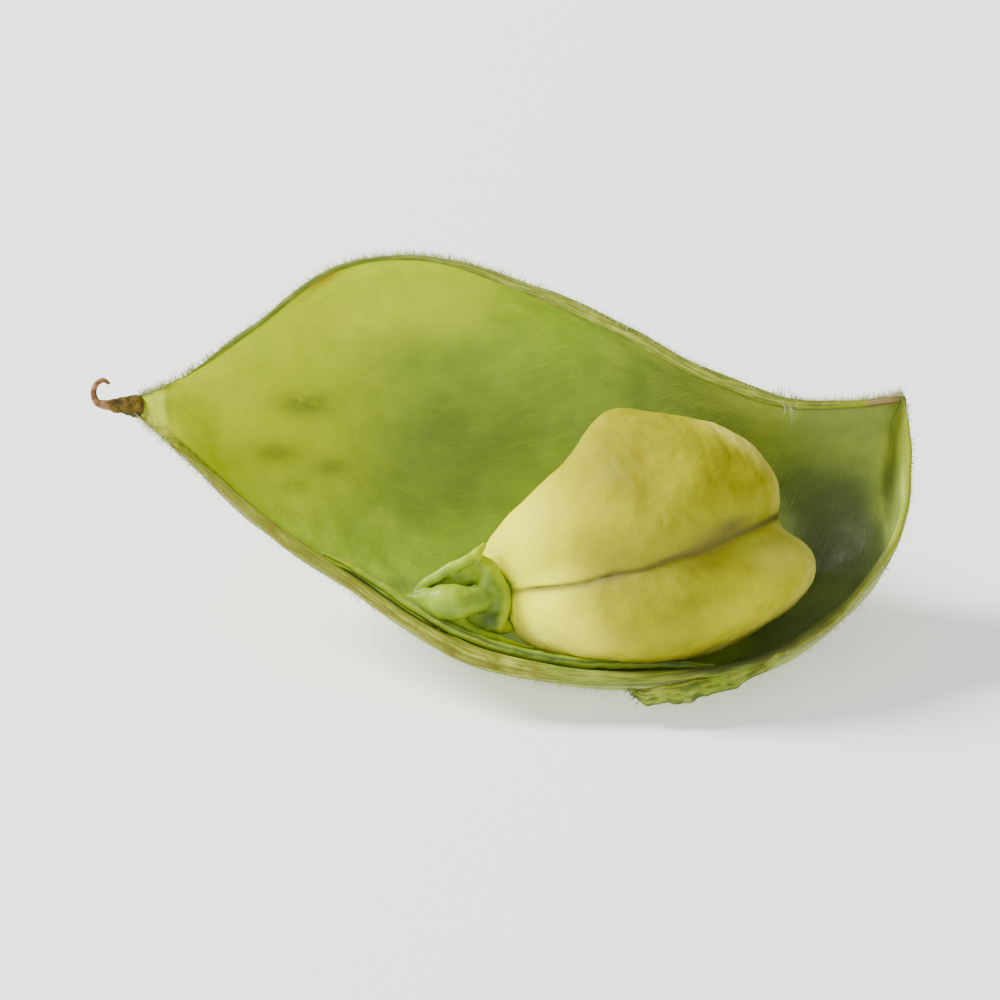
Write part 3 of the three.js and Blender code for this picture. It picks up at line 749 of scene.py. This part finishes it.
def seed_mesh():
    tilt = np.pi * np.arange(1, SEED_RINGS) / SEED_RINGS
    tilt, angle = np.meshgrid(tilt, angles(SEED_SIDES), indexing="ij")
    direction = np.stack([-np.cos(tilt), np.sin(tilt) * np.cos(angle), np.sin(tilt) * np.sin(angle)], -1)
    direction = np.vstack([direction.reshape(-1, 3), [[-1, 0, 0], [1, 0, 0]]])
    reach = seed_reach(direction)
    reach[-2:] = [reach[:SEED_SIDES].mean(), reach[-2 - SEED_SIDES : -2].mean()]
    # the ellipsoids keep their own shape at the rear end and behind, and are evened out on the rest
    reached = direction * reach[:, None]
    kept = np.maximum(smooth(reached[:, 0], -1.0, 2.6), smooth(reached[:, 2], 1.0, 0.2))
    points = direction * lerp(evened(reach, 80), reach, kept)[:, None]
    x, y, z = points.T
    cap = smooth(x - np.interp(y, *CAP_EDGE), 0.12, -0.1) * smooth(z, -0.6, 0.0)
    rearward = smooth(x, -2, 4.5)
    front = smooth(z, -2.5, 0.5)
    # y of the groove between the two lobes, which widens away from the beak
    middle = -0.97 + np.where(x < -1, 0.025, 0.016) * (x + 1) ** 2 + 0.04 * np.sin(2.6 * x) * bell(x, 0, 3)
    groove = lerp(0.12, 0.36, rearward) * front * bell(y, middle + 0.1 * rearward, lerp(0.55, 0.85, rearward))
    crease = lerp(0.12, 0.07, rearward) * front * bell(y, middle, lerp(0.07, 0.22, rearward)) * smooth(x, -5.2, -4.4)
    uneven = 0.05 * waves(points, 3.4, 11) + 0.02 * waves(points, 1.2, 12)
    dents = front * spots(x, y, [(0.16, 3.4, 1.9, 1.1, 1.0), (0.1, -1.2, 1.7, 0.9, 0.7), (0.09, 1.6, -1.9, 0.8, 0.8)])
    belly = 0.22 * smooth(y, -1.6, -3.2) * bell(x, -1.0, 3.3)
    points = points + direction * (uneven + belly + 0.04 * cap - dents - groove - crease)[:, None]
    brown = spots(x, y, [(0.9, -1.7, middle, 0.4, 0.2), (0.8, 2.3, middle + 0.1, 1.2, 0.62)])
    brown += spots(x, y, [(0.4, 1.0, middle + 0.05, 1.2, 0.2), (0.6, 3.3, -0.26, 0.8, 0.34)])
    brown += 0.65 * smooth(x, -5.0, -4.4) * bell(y, middle, 0.09)
    # a dark line along the groove with painted shade either side, and painted shade on the lobes' slopes into it
    near_groove = 0.75 * bell(y, middle, 0.14) + 0.3 * rearward * bell(y, middle + 0.05, 0.34)
    valley = lerp(0.55, 0.3, rearward) * bell(y, middle, np.where(y > middle, 1.5, 0.8)) * smooth(x, -4.4, -0.8)
    # painted light on the seed's sides that face away from the lamps
    side_turned = 0.95 * smooth(z, 1.9, 0.2) * np.maximum(smooth(y, -1.2, -2.4), smooth(x, 2.2, 4.0))
    values = {
        "near_groove": np.clip(front * near_groove, 0, 1),
        "valley": front * valley,
        "ripe": 0.9 * bell(x, -0.3, 2.5),
        "brown": np.clip(front * brown, 0, 1),
        "beak": 0.95 * smooth(x, -1.9, -4.5),
        # painted light on the seed's lower left, which turns away from the lamp
        "lower_left": 0.8 * smooth(x, -0.9, -4.4) * smooth(y, -1.5, -3.0),
        "turned_away": np.maximum(side_turned, 0.4 * front * smooth(x, 2.6, 4.2) * bell(y, -1.6, 0.6)),
        "cap": 0.92 * cap,
    }
    return from_seat(points), turned_over(tube_faces(SEED_RINGS - 1, SEED_SIDES)), values


seed = mesh_object("seed", [seed_material()], *seed_mesh())
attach(seed, "root")
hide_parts("chickpea")

# ---- the funicle
# rods of [x, y, z, radius] rows in the seed's own frame
KNOB = [
    [-9.0, 0.34, 0.8, 0.1],
    [-8.55, 0.16, 0.85, 0.22],
    [-8.1, -0.05, 0.98, 0.42],
    [-7.65, -0.24, 1.12, 0.6],
    [-7.15, -0.36, 1.2, 0.64],
    [-6.65, -0.44, 1.12, 0.54],
    [-6.2, -0.5, 1.05, 0.42],
    [-5.85, -0.58, 0.98, 0.28],
    [-5.6, -0.66, 0.9, 0.12],
]
LIP = [
    [-8.5, 0.36, 0.78, 0.08],
    [-8.1, 0.54, 0.92, 0.15],
    [-7.6, 0.68, 1.04, 0.19],
    [-7.1, 0.8, 1.14, 0.21],
    [-6.5, 0.92, 1.2, 0.22],
    [-6.05, 1.06, 1.14, 0.2],
    [-5.82, 1.2, 0.95, 0.15],
    [-5.62, 1.38, 0.7, 0.06],
]
BACKING = [
    [-8.2, 0.2, 0.48, 0.28],
    [-7.5, 0.3, 0.5, 0.38],
    [-6.9, 0.4, 0.52, 0.42],
    [-6.3, 0.52, 0.66, 0.45],
    [-5.95, 0.5, 0.82, 0.48],
    [-5.8, 0.0, 0.84, 0.48],
    [-5.82, -0.6, 0.76, 0.46],
    [-5.9, -1.15, 0.62, 0.4],
    [-6.0, -1.5, 0.5, 0.26],
]
CROOK = [
    [-6.4, 0.88, 0.9, 0.2],
    [-6.15, 0.92, 0.84, 0.26],
    [-5.9, 0.78, 0.8, 0.24],
    [-5.66, 0.5, 0.8, 0.16],
]
RIDGE = [
    [-7.6, -0.72, 0.85, 0.24],
    [-7.0, -1.26, 0.9, 0.24],
    [-6.5, -1.72, 0.95, 0.22],
    [-5.9, -2.12, 0.9, 0.17],
    [-5.4, -2.4, 0.8, 0.12],
    [-4.9, -2.65, 0.7, 0.05],
]
COLLAR = [
    [-6.0, 1.15, 0.75, 0.08],
    [-5.82, 0.7, 0.82, 0.17],
    [-5.6, 0.25, 0.86, 0.23],
    [-5.46, -0.36, 0.85, 0.27],
    [-5.6, -1.04, 0.75, 0.25],
    [-5.85, -1.6, 0.65, 0.16],
    [-6.0, -1.9, 0.6, 0.05],
]
# the collar's edge on the seed's side, as y and x in the seed's own frame
COLLAR_EDGE = ([-1.6, -1.04, -0.36, 0.25, 0.7, 1.15], [-5.69, -5.35, -5.19, -5.37, -5.65, -5.92])
WEB = [
    [-7.3, -0.85, 0.55, 0.2],
    [-6.75, -1.1, 0.5, 0.38],
    [-6.2, -1.35, 0.42, 0.42],
    [-5.75, -1.65, 0.35, 0.3],
    [-5.5, -1.9, 0.3, 0.1],
]


def funicle_mesh():
    rods = [(KNOB, 60, 40), (LIP, 44, 24), (BACKING, 60, 28), (RIDGE, 40, 18)]
    rods += [(COLLAR, 50, 20), (WEB, 40, 22), (CROOK, 30, 18)]
    points, faces, normals = fused([rod(*each) for each in rods], voxel=0.045, smoothing=10)
    x, y, z = points.T
    pit = 0.16 * bell(x, -6.35, 0.45) * bell(y, 0.42, 0.26) * smooth(z, 0.7, 1.2)
    pit += 0.14 * bell(x, -6.2, 0.5) * bell(y, -1.3, 0.3) * smooth(z, 0.5, 1.0)
    points = points - normals * (pit - 0.025 * waves(points, 0.9, 31))[:, None]
    margin = smooth(x - np.interp(y, *COLLAR_EDGE), -0.42, -0.12)
    # painted shade in the hollows beside and under the knob, in the groove between lip and knob, on the collar and on
    # the knob's lit left end
    shade = spots(x, y, [(0.1, -6.35, 0.42, 0.66, 0.34), (0.55, -6.3, -1.25, 0.65, 0.34), (0.3, -7.3, 0.42, 0.7, 0.16)])
    shade += 0.35 * within(x, -6.6, -5.9, -5.6, -5.35)
    shade = shade * (1 - 0.8 * margin) + 0.3 * bell(x, -8.3, 0.7) * bell(y, 0.1, 0.7)
    # painted highlights on the knob, along the top of the lip, on the lower ridge and at the collar's edge
    light = spots(x, y, [(0.55, -7.2, -0.05, 0.42, 0.4), (0.35, -6.35, 0.42, 0.6, 0.3)])
    light += 0.7 * smooth(y, 0.78, 0.98) + 0.4 * smooth(y, -1.45, -1.7) + margin * (0.9 - 0.8 * bell(y, -0.55, 0.35))
    return from_seat(points), faces, {"shade": np.clip(shade, 0, 1), "light": np.clip(light, 0, 1)}


stalk_tone = moist_material("moist_stalk", (0.2, 0.32, 0.022), (0.33, 0.46, 0.012), 0.3)
funicle = mesh_object("funicle_knob", [stalk_tone], *funicle_mesh())
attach(funicle, "root")
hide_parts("funicle")

# ---- the strand
# from and to are shares of the length, s is the share across; the rest is in millimetres
STRAND = {"from": 0.24, "to": 0.59, "s": 0.026, "standoff": 0.12, "radius": 0.21, "tip": 0.05}
STRAND_SIDES = 36


def strand_mesh():
    t = np.linspace(0, 1, 15)
    u = lerp(STRAND["from"], STRAND["to"], t)
    s = np.full_like(u, STRAND["s"])
    sunk = 0.22 * bell(t, 0, 0.06) + 0.28 * bell(t, 1, 0.09)
    off = wall_at(s) + STRAND["standoff"] + STRAND["radius"] - sunk
    path = skin(u, s) - skin_normal(u, s) * off[:, None]
    radius = lerp(STRAND["tip"], STRAND["radius"], np.sin(np.pi * t) ** 0.5)
    points, faces = rod(np.column_stack([path, radius]), 260, STRAND_SIDES)
    points = points + 0.02 * waves(points, 0.8, 41)[:, None] * np.array([0, 0.6, 0.8])
    x = points[:, 0]
    around = 2 * np.pi * (np.arange(len(points)) % STRAND_SIDES) / STRAND_SIDES
    # shade: darker streaks along the strand and random mottle, with painted shade along its part under the seed and at
    # its end
    stripe = smooth(np.cos(4 * around + 0.9 * waves(points, 5.0, 44)), 0.1, 0.9) * smooth(x, 8.5, 10.5)
    shade = 0.3 * smooth(waves(points, 2.0, 42), 0, 1) + 0.5 * stripe
    shade += 0.4 * smooth(x, 14, 17) + 0.5 * smooth(x, 18.0, 19.5)
    # light: a lighter tone between the streaks, partly a painted sheen on its ridges
    light = (0.3 + 0.25 * waves(points, 3.0, 43)) * (1 - stripe)
    return points, faces, {"shade": np.clip(shade, 0, 1), "light": light}


vein_tone = moist_material("moist_vein", (0.1, 0.155, 0.022), (0.2, 0.29, 0.035), 0.28)
strand = mesh_object("strand", [vein_tone], *strand_mesh())
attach(strand, "root")
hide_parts("placental_strand")

# ---- the torn margin
# from and to are shares of the length; the rest is in millimetres
SHRED = {"from": 0.512, "to": 0.665, "clearance": -0.06, "thickness": 0.085}
SHRED_STEPS, SHRED_SIDES = 170, 30
# half width, and how far the strip hangs outwards and down, at shares of its length
SHRED_SHAPE = [
    [0.0, 0.03, 0.34, -0.2],
    [0.03, 0.14, 0.36, -0.2],
    [0.09, 0.34, 0.34, -0.2],
    [0.2, 0.4, 0.24, -0.18],
    [0.38, 0.36, 0.16, -0.12],
    [0.6, 0.3, 0.08, -0.08],
    [0.8, 0.2, 0.02, -0.04],
    [0.93, 0.1, 0.0, 0.0],
    [1.0, 0.04, 0.0, 0.0],
]


def shred_mesh():
    t = np.linspace(0, 1, SHRED_STEPS)
    shares, half_width, out, down = np.array(SHRED_SHAPE).T
    edge = spline(STATIONS, lerp(SHRED["from"], SHRED["to"], t))[:, :3]
    outward = unit(np.cross(unit(np.gradient(edge, axis=0)), [0, 0, 1.0]))
    lengthwise = edge * [1, 0, 0]
    width = np.interp(t, shares, half_width) * (1 + 0.1 * waves(lengthwise, 0.9, 51, 3))
    middle = edge + outward * (SHRED["clearance"] + width + np.interp(t, shares, out))[:, None]
    middle[:, 2] += 0.02 + np.interp(t, shares, down) + 0.02 * np.sin(11 * t)
    thick = SHRED["thickness"] * np.minimum(1, 0.3 + 3 * t) * (1 + 0.3 * waves(lengthwise, 0.6, 54))
    angle = angles(SHRED_SIDES)
    across = np.sign(np.cos(angle)) * np.abs(np.cos(angle)) ** 0.7
    ring = (
        middle[:, None]
        + (outward * width[:, None])[:, None] * across[None, :, None]
        + np.array([0, 0, 1.0]) * (thick[:, None] * np.sin(angle)[None])[..., None]
    )
    points = np.vstack([ring.reshape(-1, 3), middle[:1], middle[-1:]])
    points[:, 2] += 0.03 * waves(points, 0.8, 52)
    from_edge = np.append(np.tile(0.5 * (1 - np.cos(angle)), SHRED_STEPS), [0.5, 0.5])
    values = {
        "from_edge": 0.4 + from_edge,
        "grain": np.stack([1.4 * points[:, 0], 2.2 * from_edge, np.zeros_like(from_edge)], -1),
        "pale": 0.35 * smooth(waves(points, 1.2, 53), 0, 1),
    }
    return points, turned_over(tube_faces(SHRED_STEPS, SHRED_SIDES)), values


shred_points, shred_faces, shred_values = shred_mesh()
shred = mesh_object("torn_strip", [shred_material()], shred_points, shred_faces, shred_values)
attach(shred, "root")
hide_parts("torn_margin")

# ---- the dried style
# [x, y, z, radius] rows, x along the pod and y across it as the camera sees them
STYLE = [
    [0.05, 0.0, -0.12, 0.36],
    [-0.08, 0.0, -0.08, 0.41],
    [-0.35, 0.0, 0.0, 0.36],
    [-0.65, 0.02, 0.0, 0.28],
    [-0.95, 0.04, 0.0, 0.2],
    [-1.22, 0.05, 0.03, 0.17],
    [-1.48, 0.14, 0.06, 0.13],
    [-1.6, 0.44, 0.08, 0.11],
    [-1.52, 0.76, 0.05, 0.1],
    [-1.28, 0.92, -0.03, 0.09],
    [-1.04, 0.8, -0.08, 0.055],
]


def style_mesh():
    points, faces = rod(STYLE, 200, 22)
    x, y = points[:, 0].copy(), points[:, 1].copy()
    rough = 0.025 * waves(points, 0.5, 61, 3) * smooth(x, -1.2, -0.9)
    points = points + rough[:, None] * unit(points * [0, 1, 1] + 1e-6)
    place = (STATIONS[0, 0:3] + STATIONS[0, 3:6]) / 2
    # painted shade on the style's underside
    underside = 0.7 * smooth(y, -0.05, -0.3) * smooth(x, -0.9, -0.4)
    return turned(points, VIEW_TILT, Y, Z) + place, faces, {"thread": smooth(x, -0.85, -1.25), "underside": underside}


style = mesh_object("style", [style_material()], *style_mesh())
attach(style, "root")
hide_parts("dried_style")

# ---- hairs
HAIR = hair_material("pale_hair", (0.62, 0.68, 0.3))
HAIR_SIDES = 3
HAIR_TOP = 12.24  # how high above the ground the hairs may reach
OUTER_HAIRS, RIM_HAIRS, TORN_FIBRES = 9500, 4200, 26
SKIN_GRID = (240, 160)  # cells along and across the skin, for choosing where hairs grow


def hair_mesh(name, roots, directions, lengths, radii, material, seed, bend=0.35):
    """Short tapered hairs, each a three-sided cone that bends once."""
    rng = np.random.default_rng(seed)
    count = len(roots)
    side = unit(np.cross(directions, rng.normal(size=(count, 3))))
    other = np.cross(directions, side)
    droop = unit(rng.normal(size=(count, 3)))
    angle = angles(HAIR_SIDES)
    around = np.cos(angle)[:, None] * side[:, None] + np.sin(angle)[:, None] * other[:, None]
    rings = []
    for share, thin in ((0.0, 1.0), (0.55, 0.7)):
        middle = roots + directions * (lengths * share)[:, None] + droop * (lengths * bend * share**2)[:, None]
        rings.append(middle[:, None] + around * (radii * thin)[:, None, None])
    tip = roots + directions * lengths[:, None] + droop * (lengths * bend)[:, None]
    points = np.concatenate([rings[0], rings[1], tip[:, None]], axis=1)
    first = points.shape[1] * np.arange(count)[:, None]
    quads, tips = [], []
    for k in range(HAIR_SIDES):
        j = (k + 1) % HAIR_SIDES
        quads += (first + [k, j, HAIR_SIDES + j, HAIR_SIDES + k]).tolist()
        tips += (first + [HAIR_SIDES + k, HAIR_SIDES + j, 2 * HAIR_SIDES]).tolist()
    return mesh_object(name, [material], points.reshape(-1, 3), quads + tips)


def places_on_skin(count, rng, weight):
    """Random shares (u, s) spread evenly over the skin's area, times a weight."""
    u, s = np.meshgrid(*(np.linspace(0.002, 0.998, cells) for cells in SKIN_GRID), indexing="ij")
    points = skin(u, s)
    area = np.linalg.norm(np.cross(np.gradient(points, axis=0), np.gradient(points, axis=1)), axis=-1)
    share = (area * weight(u, s)).ravel()
    pick = rng.choice(share.size, count, p=share / share.sum())
    jitter = rng.uniform(-0.5, 0.5, (2, count))
    u = np.clip(u.ravel()[pick] + jitter[0] / SKIN_GRID[0], 0, 1)
    return u, np.clip(s.ravel()[pick] + jitter[1] / SKIN_GRID[1], 0, 1)


def hairiness(u, s):
    """More hairs along the dorsal edge and on the beak, fewer along the ventral edge."""
    return 1 + 1.6 * bell(s, 1, 0.05) - 0.8 * bell(s, 0, 0.08) + 2 * bell(u, 0, 0.06)


def torn_fibres():
    """Loose fibres on the first twelve rings of the torn strip, at its free end."""
    rng = np.random.default_rng(55)
    roots = shred_points[rng.integers(0, 12 * SHRED_SIDES, TORN_FIBRES)]
    directions = unit(np.array([-1.0, -0.25, -0.1]) + 0.45 * rng.normal(size=roots.shape))
    lengths = rng.uniform(0.15, 0.5, TORN_FIBRES)
    radii = rng.uniform(0.015, 0.035, TORN_FIBRES)
    return hair_mesh("torn_fibres", roots, directions, lengths, radii, shred.data.materials[0], 56, 0.25)


def outer_hairs():
    rng = np.random.default_rng(71)
    u, s = places_on_skin(OUTER_HAIRS, rng, hairiness)
    normal = skin_normal(u, s)
    roots = pressed(skin(u, s) - 0.02 * normal, 0)
    clear = (roots @ UP) > FLOOR + 0.25
    normal, roots = normal[clear], roots[clear]
    directions = unit(normal + 0.35 * rng.normal(size=roots.shape))
    lengths = rng.uniform(0.14, 0.36, len(roots))
    low = (roots @ UP) - FLOOR
    lengths = np.minimum(lengths, np.maximum(0.05, np.minimum(low * 0.6, 0.72 * (HAIR_TOP - low))))
    return hair_mesh("outer_hairs", roots, directions, lengths, rng.uniform(0.006, 0.01, len(roots)), HAIR, 72)


def rim_hairs():
    rng = np.random.default_rng(81)
    u = rng.uniform(0.0, 0.99, RIM_HAIRS)
    dorsal = rng.uniform(size=len(u)) < np.where(u < 0.25, 0.6, 0.86)
    s = np.where(dorsal, 1 - rng.uniform(0, 0.025, len(u)), rng.uniform(0, 0.02, len(u)))
    normal = skin_normal(u, s)
    around = unit(skin(u, np.minimum(s + 0.01, 1)) - skin(u, np.maximum(s - 0.01, 0)))
    around *= np.where(dorsal, 1, -1)[:, None]
    roots = skin(u, s) - 0.03 * normal
    spread = around * rng.uniform(0, 1.4, len(u))[:, None]
    directions = unit(normal + spread + 0.35 * rng.normal(size=roots.shape))
    lengths = rng.uniform(0.15, 0.4, len(u)) * np.where(dorsal | (u < 0.25), 1, 0.6)
    tuft = bell(u, 0.735, 0.012) * dorsal
    lengths = np.minimum(lengths * (1 + tuft), 0.72 * (HAIR_TOP + FLOOR - roots @ UP))
    radii = rng.uniform(0.009, 0.015, len(u)) * (1 + 0.3 * tuft)
    # some hairs of the tuft hang down over the edge
    over = (tuft > 0.4) & (rng.uniform(size=len(u)) < 0.3)
    hanging = unit(np.array([0.28, -0.9, 0.25]) + 0.25 * rng.normal(size=roots.shape))
    directions = np.where(over[:, None], hanging, directions)
    lengths = np.where(over, rng.uniform(0.5, 0.95, len(u)), lengths)
    return hair_mesh("rim_hairs", roots, directions, lengths, radii, HAIR, 82)


fibres = torn_fibres()
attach(fibres, "root")
for hair in (outer_hairs(), rim_hairs()):
    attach(hair, "root")


# ---- floor and light
LIGHT_AIM = Vector((0, 0, 0.005))


def stage():
    bpy.ops.mesh.primitive_plane_add(size=3, location=(0, 0, 0))
    floor = bpy.context.object
    floor.name = "floor"
    m = Shader("floor", 0.9, 0.1, Emission_Strength=0.55, Emission_Color=(1, 1, 1))
    floor.data.materials.append(m.finish(m.mix(m.noise(0.02), (0.93, 0.93, 0.92), (0.95, 0.95, 0.94))))


def area_light(name, place, size, power, tint=(1, 1, 1)):
    data = bpy.data.lights.new(name, "AREA")
    data.shape = "DISK"
    data.size = size
    data.energy = power
    data.color = tint
    light = bpy.data.objects.new(name, data)
    bpy.context.collection.objects.link(light)
    light.location = place
    light.rotation_euler = (LIGHT_AIM - Vector(place)).to_track_quat("-Z", "Y").to_euler()


stage()
area_light("key", (-0.40, 0.10, 0.36), 0.2, 7.2, (1.0, 0.98, 0.94))
area_light("fill", (-0.2, -0.5, 0.26), 0.5, 1.7)
world = bpy.data.worlds.new("world")
bpy.context.scene.world = world
world.use_nodes = True
background = world.node_tree.nodes["Background"].inputs
background["Color"].default_value = (1, 1, 1, 1)
background["Strength"].default_value = 0.5
